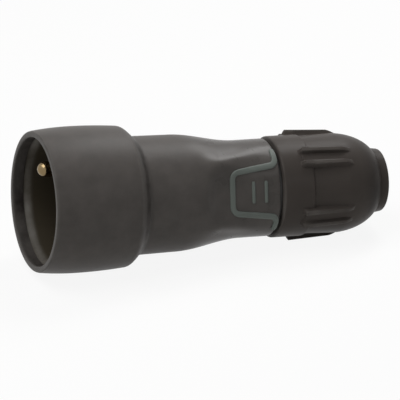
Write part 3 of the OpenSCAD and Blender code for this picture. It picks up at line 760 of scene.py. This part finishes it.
class SOCKET_OT_housing(bpy.types.Operator):
    """Spin the rubber collar and grip from their outline and press the two panels into the grip"""

    bl_idname = "socket.housing"
    bl_label = "Rubber housing"

    def execute(self, context):
        shape, cup = context.scene.socket_housing, context.scene.socket_insert
        flange_end = context.scene.socket_neck.flange_end
        end = grip_end(shape)
        last = end - shape.grip_round
        outline = arc(shape.lip_round, shape.mouth_r + shape.lip_round, shape.lip_round, 270, 180, 4)
        outline += arc(shape.rim_round, shape.rim_r - shape.rim_round, shape.rim_round, 180, 90, 8)
        places = spaced(shape.rim_round * RIM_BLEND, last, HOUSING_GAP)
        outline += [(x, housing_radius(shape, x)) for x in places]
        outline += arc(last, shape.grip_r - shape.grip_round, shape.grip_round, 75, 0, 5)
        outline += [(end, shape.neck_r), (flange_end, shape.neck_r), (flange_end, shape.cavity_r),
                    (cup.end, shape.cavity_r), (cup.end, shape.insert_r), (cup.rim_at, shape.insert_r),
                    (cup.rim_at, shape.mouth_r)]
        piece = spin_shape("rubber_housing", outline, shape.steps)
        first = shape.panel_at - shape.panel_run
        for vertex in piece.data.vertices:
            x, y, z = vertex.co
            if x > first and math.hypot(y, z) > shape.neck_r + BORE_WALL:
                y = math.copysign(smooth_least(abs(y), panel_line(shape, x), shape.panel_soft), y)
                grown = 1 + crest_lift(shape, x, y, z) / math.hypot(y, z)
                vertex.co.yz = y * grown, z * grown
        rubber = rubber_finish(shape, context.scene.socket_colours, context.scene.socket_wear)
        finish_piece(piece, "socket", "rubber", rubber, "housing", matrix=lie(PIN_SIDE))
        return {"FINISHED"}


def corner_points(before, at, after, radius, steps=6):
    """Points of a path's corner, rounded to a radius."""
    u, v = (before - at).normalized(), (after - at).normalized()
    half = u.angle(v) / 2
    centre = at + (u + v).normalized() * radius / math.sin(half)
    start = at + u * radius / math.tan(half) - centre
    turn = math.pi - 2 * half
    side = 1 if u.x * v.y - u.y * v.x < 0 else -1
    return [centre + Matrix.Rotation(side * turn * i / steps, 2) @ start for i in range(steps + 1)]


def dense_path(path, gap):
    """A path with points added along its straight stretches."""
    places = [path[0]]
    for a, b in zip(path, path[1:]):
        count = max(1, math.ceil((b - a).length / gap))
        places += [a + (b - a) * i / count for i in range(1, count + 1)]
    return places


def hat_path(ridges):
    """Middle line of the hat: from one end of its brim over the crown to the other."""
    turns = [(ridges.hat_len, ridges.hat_end), (ridges.hat_len, ridges.hat_brim), (0, ridges.hat_crown)]
    turns += [(x, -z) for x, z in turns[::-1]]
    turns = [Vector((ridges.hat_at + x, z)) for x, z in turns]
    path = [turns[0]]
    for before, at, after in zip(turns, turns[1:], turns[2:]):
        path += corner_points(before, at, after, ridges.hat_corner)
    return path + [turns[-1]]


def bar_path(ridges, off):
    """Middle line of a short bar across the panel, at a distance behind the crown."""
    x = ridges.hat_at + off
    return [Vector((x, side * ridges.bar_half)) for side in (-1, 1)]


def grip_point(shape, x, z, height):
    """A place on the near side of the grip, raised by a height along the surface's normal."""
    d = SLOPE_STEP
    n = grip_distance(shape, x, z)
    slope_x = (grip_distance(shape, x + d, z) - n) / d
    slope_z = (grip_distance(shape, x, z + d) - grip_distance(shape, x, z - d)) / (2 * d)
    out = Vector((-slope_x, -1, -slope_z)).normalized()
    return Vector((x, -n, z)) + out * height


def ridge_sections(shape, ridges, path, width):
    """Sections of a ridge along its path: flat-topped with round edges, and round at both ends."""
    half, edge, top = width / 2, ridges.ridge_round, ridges.ridge_h
    inset = edge * ROUND_IN
    right = [(half - edge, top), (half - inset, top - inset), (half, top - edge), (half, -ridges.ridge_set)]
    profile = [(-off, height) for off, height in right[::-1]] + [(0, top)] + right
    path = dense_path(path, RIDGE_GAP)
    run = 0
    total = sum((b - a).length for a, b in zip(path, path[1:]))
    sections = []
    for i, place in enumerate(path):
        back, ahead = path[max(i - 1, 0)], path[min(i + 1, len(path) - 1)]
        way = (ahead - back).normalized()
        side = Vector((-way.y, way.x))
        if i:
            run += (place - path[i - 1]).length
        left = min(run, total - run) / half
        narrow = math.sqrt(1 - max(0, 1 - left - END_CUT) ** 2)
        points = [(place + side * off * narrow, height) for off, height in profile]
        sections.append([grip_point(shape, *point, height) for point, height in points])
    return sections


class SOCKET_OT_ridges(bpy.types.Operator):
    """Sweep the hat-shaped ridge and its two bars over each grip panel"""

    bl_idname = "socket.ridges"
    bl_label = "Grip ridges"

    def execute(self, context):
        shape, ridges = context.scene.socket_housing, context.scene.socket_ridges
        paths = [(hat_path(ridges), ridges.ridge_w), (bar_path(ridges, ridges.bar_front), ridges.bar_w),
                 (bar_path(ridges, ridges.bar_rear), ridges.bar_w)]
        finish = moulded_finish("ridge_plastic", context.scene.socket_colours.ridge)
        for side, turn in (("near", 0), ("far", math.pi)):
            bars = [sweep_shape("bar", ridge_sections(shape, ridges, path, width)) for path, width in paths]
            piece = join_pieces(f"grip_ridges_{side}", bars)
            finish_piece(piece, "socket", "ridge", finish, f"grip_inlay_{side}",
                         matrix=lie(PIN_SIDE) @ Matrix.Rotation(turn, 4, "X"), sharp=50)
        return {"FINISHED"}


def nut_radius(nut, x):
    """Radius of the nut behind its front ring, between its ribs."""
    step_at = nut.front + nut.ring_len
    low = nut.ring_r - nut.step
    dome_run = (nut.lip_at - nut.dome_at) / nut.dome_share
    blend_at = nut.dome_at + nut.dome_blend
    across = max(x, blend_at) - nut.dome_at
    dome = nut.dome_core + (nut.dome_r - nut.dome_core) * math.sqrt(1 - (across / dome_run) ** 2)
    return low + (dome - low) * min(1, (x - step_at) / (blend_at - step_at))


def rib_top(nut, x):
    """Height of a rib's crest above the axis."""
    top_front = nut.rib_at + nut.rib_ramp
    top_rear = top_front + nut.rib_len
    foot = nut.ring_r - nut.rib_sink
    if x < top_front:
        return foot + (nut.rib_front_r - foot) * (x - nut.rib_at) / nut.rib_ramp
    if x < top_rear:
        return nut.rib_front_r + (nut.rib_rear_r - nut.rib_front_r) * (x - top_front) / nut.rib_len
    return nut.rib_rear_r - nut.rib_drop * ((x - top_rear) / nut.rib_tail) ** TAIL_CURVE


def rib_lift(nut, x, r, turn):
    """Radius of the nut's surface where a rib may stand on it, at an angle from the lowest rib."""
    pitch = 2 * math.pi / nut.ribs
    off = turn - pitch * round(turn / pitch)
    side = abs(r * math.sin(off))
    half, soft = nut.rib_w / 2, nut.rib_soft
    rib_end = nut.rib_at + nut.rib_ramp + nut.rib_len + nut.rib_tail
    if side > half + soft or not nut.rib_at < x < rib_end:
        return r
    groove = nut.groove_d * (1 - smooth_step(nut.groove_w / 2 - soft, nut.groove_w / 2 + soft, side))
    crest = rib_top(nut, x) / math.cos(off) - groove
    stand = 1 - smooth_step(half - soft, half + soft, side)
    return r + max(crest - r, 0) * stand


class SOCKET_OT_nut(bpy.types.Operator):
    """Spin the gland nut from its outline and raise its double-crested ribs"""

    bl_idname = "socket.nut"
    bl_label = "Gland nut"

    def execute(self, context):
        nut, colours, marks = context.scene.socket_nut, context.scene.socket_colours, context.scene.socket_wear
        edge = nut.edge_round
        step_at = nut.front + nut.ring_len
        ring_end = step_at - nut.step_round
        outline = [(nut.front, nut.bore_r)]
        outline += arc(nut.front + edge, nut.ring_r - edge, edge, 180, 90, 5)
        outline += [(x, nut.ring_r) for x in spaced(nut.rib_at - nut.rib_lead, ring_end, NUT_GAP)]
        outline += arc(ring_end, nut.ring_r - nut.step_round, nut.step_round, 75, 15, 4)
        outline += [(x, nut_radius(nut, x)) for x in spaced(step_at + nut.step / 2, nut.lip_at, NUT_GAP)]
        outline += arc(nut.end - edge, nut.lip_r - edge, edge, 90, 0, 5)
        outline += [(nut.end, nut.entry_r), (nut.floor, nut.entry_r), (nut.floor, nut.bore_r)]
        piece = spin_shape("ribbed_nut", outline, nut.steps)
        for vertex in piece.data.vertices:
            x, y, z = vertex.co
            r = math.hypot(y, z)
            if r > nut.bore_r + BORE_WALL:
                lifted = rib_lift(nut, x, r, math.atan2(y, -z)) / r
                vertex.co.yz = y * lifted, z * lifted
        finish = moulded_finish("hard_nut", colours.nut)
        tone_bands(finish, colours.nut_worn, ("Distance", nut.front, marks.nut_rub),
                   ("Radius", nut.rib_front_r, marks.nut_rub))
        # Painted shade on the rear of the dome, in front of the lip
        tone_bands(finish, colours.nut_painted_shade, ("Distance", nut.lip_at - marks.dome_shade_off, marks.dome_shade))
        finish_piece(piece, "nut", "nut", finish, "gland_nut", matrix=lie(TOP_SIDE))
        return {"FINISHED"}


class SOCKET_OT_neck(bpy.types.Operator):
    """Spin the neck that the nut screws on to, and cut its thread"""

    bl_idname = "socket.neck"
    bl_label = "Threaded neck"

    def execute(self, context):
        neck = context.scene.socket_neck
        start = grip_end(context.scene.socket_housing)
        bevel = neck.end_bevel
        outline = [(neck.flange_at, neck.bore_r), (neck.flange_at, neck.flange_r),
                   (neck.flange_end, neck.flange_r), (neck.flange_end, neck.radius)]
        outline += [(x, neck.radius) for x in spaced(start, neck.end - bevel, THREAD_GAP)]
        outline += [(neck.end, neck.radius - bevel), (neck.end, neck.bore_r)]
        piece = spin_shape("threaded_neck", outline, neck.steps)
        first = start + neck.thread_off
        for vertex in piece.data.vertices:
            x, y, z = vertex.co
            r = math.hypot(y, z)
            if x > first and r > (neck.radius + neck.bore_r) / 2:
                phase = (x / neck.pitch - math.atan2(z, y) / (2 * math.pi)) % 1
                fade = smooth_step(first, first + neck.thread_fade, x)
                cut = neck.thread_d * fade * smooth_step(FLANK_TOP, FLANK_FOOT, min(phase, 1 - phase) * 2)
                vertex.co.yz = y * (r - cut) / r, z * (r - cut) / r
        finish = moulded_finish("neck_plastic", context.scene.socket_colours.neck)
        finish_piece(piece, "socket", "neck", finish, "neck_shell", matrix=lie(PIN_SIDE))
        return {"FINISHED"}


class SOCKET_OT_insert(bpy.types.Operator):
    """Spin the cup with its bevelled rim and contact face, and cut its contact holes"""

    bl_idname = "socket.insert"
    bl_label = "Insert"

    def execute(self, context):
        cup, colours = context.scene.socket_insert, context.scene.socket_colours
        bevel_end = cup.rim_at + cup.bevel_len
        face_back = cup.face_at + cup.face_t
        slope = (cup.outer_r - cup.recess_r) / cup.bevel_len
        outline = [(cup.face_at, 0)]
        outline += arc(cup.face_at - cup.corner, cup.recess_r - cup.corner, cup.corner, 0, 90, 5)
        outline += [(bevel_end + cup.edge, cup.recess_r),
                    (bevel_end - cup.edge, cup.recess_r + slope * cup.edge),
                    (cup.rim_at + cup.edge, cup.outer_r - slope * cup.edge),
                    (cup.rim_at, cup.outer_r - cup.edge), (cup.rim_at + cup.edge, cup.outer_r),
                    (cup.end, cup.outer_r), (cup.end, cup.skirt_r), (face_back, cup.skirt_r), (face_back, 0)]
        piece = spin_shape("recess_cup", outline, cup.steps)
        merge_flat(piece, cup.face_at)
        merge_flat(piece, face_back)
        before, past = cup.face_at - cup.hole_bevel, face_back + cup.face_t
        contact = [(before, 0), (before, cup.hole_r + 2 * cup.hole_bevel),
                   (cup.face_at + cup.hole_bevel, cup.hole_r), (past, cup.hole_r), (past, 0)]
        pin = [(before, 0), (before, cup.pin_r), (past, cup.pin_r), (past, 0)]
        for hole, y, z in ((contact, cup.pitch / 2, 0), (contact, -cup.pitch / 2, 0), (pin, 0, cup.pin_off)):
            cut_hole(piece, hole, cup.hole_steps, y, z)
        finish = moulded_finish("insert_plastic", colours.insert)
        # Painted light over the whole bevel, with scuffs
        tone_bands(finish, colours.insert_light_and_wear, ("Distance", cup.rim_at + cup.bevel_len / 2, cup.bevel_len))
        finish_piece(piece, "socket", "insert", finish, "socket_insert", matrix=lie(PIN_SIDE), sharp=20)
        return {"FINISHED"}


class SOCKET_OT_inner(bpy.types.Operator):
    """Smooth and finish the earth pin, contacts, shutter and the other inner pieces"""

    bl_idname = "socket.inner"
    bl_label = "Inner pieces"

    def execute(self, context):
        colours = context.scene.socket_colours
        finishes = {
            "seal": moulded_finish("seal_rubber", colours.seal),
            "neck": moulded_finish("collet_plastic", colours.neck),
            "shutter": moulded_finish("shutter_plastic", colours.shutter),
            "block": moulded_finish("block_plastic", colours.block),
            "brass": metal_finish("drawn_brass", colours.brass, 0.28, 0.42),
            "pin": metal_finish("polished_brass", colours.pin, 0.11, 0.25),
            "steel": metal_finish("plated_steel", colours.steel, 0.3, 0.44),
        }
        record = frame["record"]
        slots = {row["node"]: row["material_slot"] for row in record["subparts"]}
        bodies = {node: body for body, nodes in record["behaviour"]["bodies"].items() for node in nodes}
        for node in sorted(set(frame["nodes"]) - MODELLED):
            finish_piece(smooth_copy(node), bodies[node], slots[node], finishes[slots[node]], node)
        self.press_spring()
        return {"FINISHED"}

    def press_spring(self):
        """Gives the spring a mesh of its own."""
        spring = bpy.data.objects["shutter_spring_skin"]
        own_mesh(spring)


def seen_directly(tree):
    """Node whose value is 1 for rays from the camera, reflections and glass, and 0 for scattered light."""
    path = add_node(tree, "ShaderNodeLightPath")
    both = add_node(tree, "ShaderNodeMath", operation="MAXIMUM")
    every = add_node(tree, "ShaderNodeMath", operation="MAXIMUM")
    link(tree, (path, "Is Camera Ray", both, 0), (path, "Is Glossy Ray", both, 1), (both, "Value", every, 0),
         (path, "Is Transmission Ray", every, 1))
    return every


def floor_finish(stage, base):
    """Pale floor that is nearly white where it is seen, and keeps the socket's shadow."""
    material = bpy.data.materials.new("pale_floor")
    material.use_nodes = True
    tree = material.node_tree
    tree.nodes.remove(tree.nodes["Principled BSDF"])
    matt = add_node(tree, "ShaderNodeBsdfDiffuse", {"Color": (*base, 1)})
    white = add_node(tree, "ShaderNodeEmission")
    part = add_node(tree, "ShaderNodeMath", {1: stage.floor_white}, operation="MULTIPLY")
    mix = add_node(tree, "ShaderNodeMixShader")
    link(tree, (seen_directly(tree), "Value", part, 0), (part, "Value", mix, "Fac"), (matt, "BSDF", mix, 1),
         (white, "Emission", mix, 2), (mix, "Shader", tree.nodes["Material Output"], "Surface"))
    return material


def light_world(stage):
    """Soft light from all round, seen as white."""
    world = bpy.data.worlds.new("studio")
    bpy.context.scene.world = world
    world.use_nodes = True
    tree = world.node_tree
    soft = tree.nodes["Background"]
    soft.inputs["Strength"].default_value = stage.ambient
    soft.inputs["Color"].default_value = (1, 1, 1, 1)
    white = add_node(tree, "ShaderNodeBackground", {"Color": (1, 1, 1, 1)})
    mix = add_node(tree, "ShaderNodeMixShader")
    link(tree, (seen_directly(tree), "Value", mix, "Fac"), (soft, "Background", mix, 1),
         (white, "Background", mix, 2), (mix, "Shader", tree.nodes["World Output"], "Surface"))


def add_softbox(name, place, aim, watts, width, depth):
    """A rectangular soft light at a place, turned to what it lights."""
    begin()
    turn = (aim - place).to_track_quat("-Z", "Y").to_euler()
    bpy.ops.object.light_add(type="AREA", location=place, rotation=turn)
    lamp = bpy.context.object
    lamp.name = lamp.data.name = name
    lamp.data.shape = "RECTANGLE"
    lamp.data.size = width
    lamp.data.size_y = depth
    lamp.data.energy = watts


class SOCKET_OT_stage(bpy.types.Operator):
    """Add the floor, the soft light and the camera at the photograph's viewing angle"""

    bl_idname = "socket.stage"
    bl_label = "Stage"

    def execute(self, context):
        stage = context.scene.socket_stage
        context.scene.view_settings.view_transform = "Standard"
        begin()
        bpy.ops.mesh.primitive_plane_add(size=stage.floor_size)
        floor = context.object
        floor.name = floor.data.name = "floor"
        floor.data.materials.append(floor_finish(stage, context.scene.socket_colours.floor))
        light_world(stage)
        middle = (CAD_BOX[0] + CAD_BOX[1]) / 2
        for name, (watts, off, width, depth) in LAMPS.items():
            add_softbox(name, middle + Vector(off), middle, getattr(stage, watts), width, depth)
        self.add_camera(context, stage)
        return {"FINISHED"}

    def add_camera(self, context, stage):
        """Long lens, so that the socket's far and near ends have one scale."""
        a, e = stage.azimuth, stage.elevation
        back = Vector((math.sin(a) * math.cos(e), -math.cos(a) * math.cos(e), math.sin(e)))
        right = Vector((math.cos(a), math.sin(a), 0))
        up = back.cross(right)
        aim = mouth_place() + right * stage.mouth_left + up * stage.mouth_low
        turn = Matrix((right, up, back)).transposed().to_euler()
        begin()
        bpy.ops.object.camera_add(rotation=turn)
        camera = context.object
        camera.data.lens = stage.lens
        camera.location = aim + back * stage.view_w * stage.lens / camera.data.sensor_width
        camera.data.clip_end = CAMERA_REACH
        context.scene.camera = camera


class SOCKET_PT_panel(bpy.types.Panel):
    """Lists the socket's pieces and sizes"""

    bl_idname = "SOCKET_PT_panel"
    bl_label = "Rubber extension socket"
    bl_space_type = "VIEW_3D"
    bl_region_type = "UI"
    bl_category = "Socket"

    def draw(self, context):
        for operator in OPERATORS:
            self.layout.operator(operator.bl_idname)
        for name in GROUPS:
            box = self.layout.box()
            settings = getattr(context.scene, name)
            for key in settings.__annotations__:
                box.prop(settings, key)


GROUPS = {
    "socket_housing": SocketHousing,
    "socket_ridges": SocketRidges,
    "socket_nut": SocketNut,
    "socket_neck": SocketNeck,
    "socket_insert": SocketInsert,
    "socket_colours": SocketColours,
    "socket_wear": SocketMarks,
    "socket_stage": SocketStage,
}
OPERATORS = [SOCKET_OT_stage, SOCKET_OT_housing, SOCKET_OT_ridges, SOCKET_OT_nut, SOCKET_OT_neck,
             SOCKET_OT_insert, SOCKET_OT_inner]


def register():
    for made in [*GROUPS.values(), *OPERATORS, SOCKET_PT_panel]:
        bpy.utils.register_class(made)
    for name, group in GROUPS.items():
        setattr(bpy.types.Scene, name, PointerProperty(type=group))


def unregister():
    for name in GROUPS:
        delattr(bpy.types.Scene, name)
    for made in [SOCKET_PT_panel, *OPERATORS[::-1], *list(GROUPS.values())[::-1]]:
        bpy.utils.unregister_class(made)


def main():
    register()
    bpy.ops.socket.stage()
    bpy.ops.socket.housing()
    bpy.ops.socket.ridges()
    bpy.ops.socket.nut()
    bpy.ops.socket.neck()
    bpy.ops.socket.insert()
    bpy.ops.socket.inner()


if __name__ == "__main__":
    main()
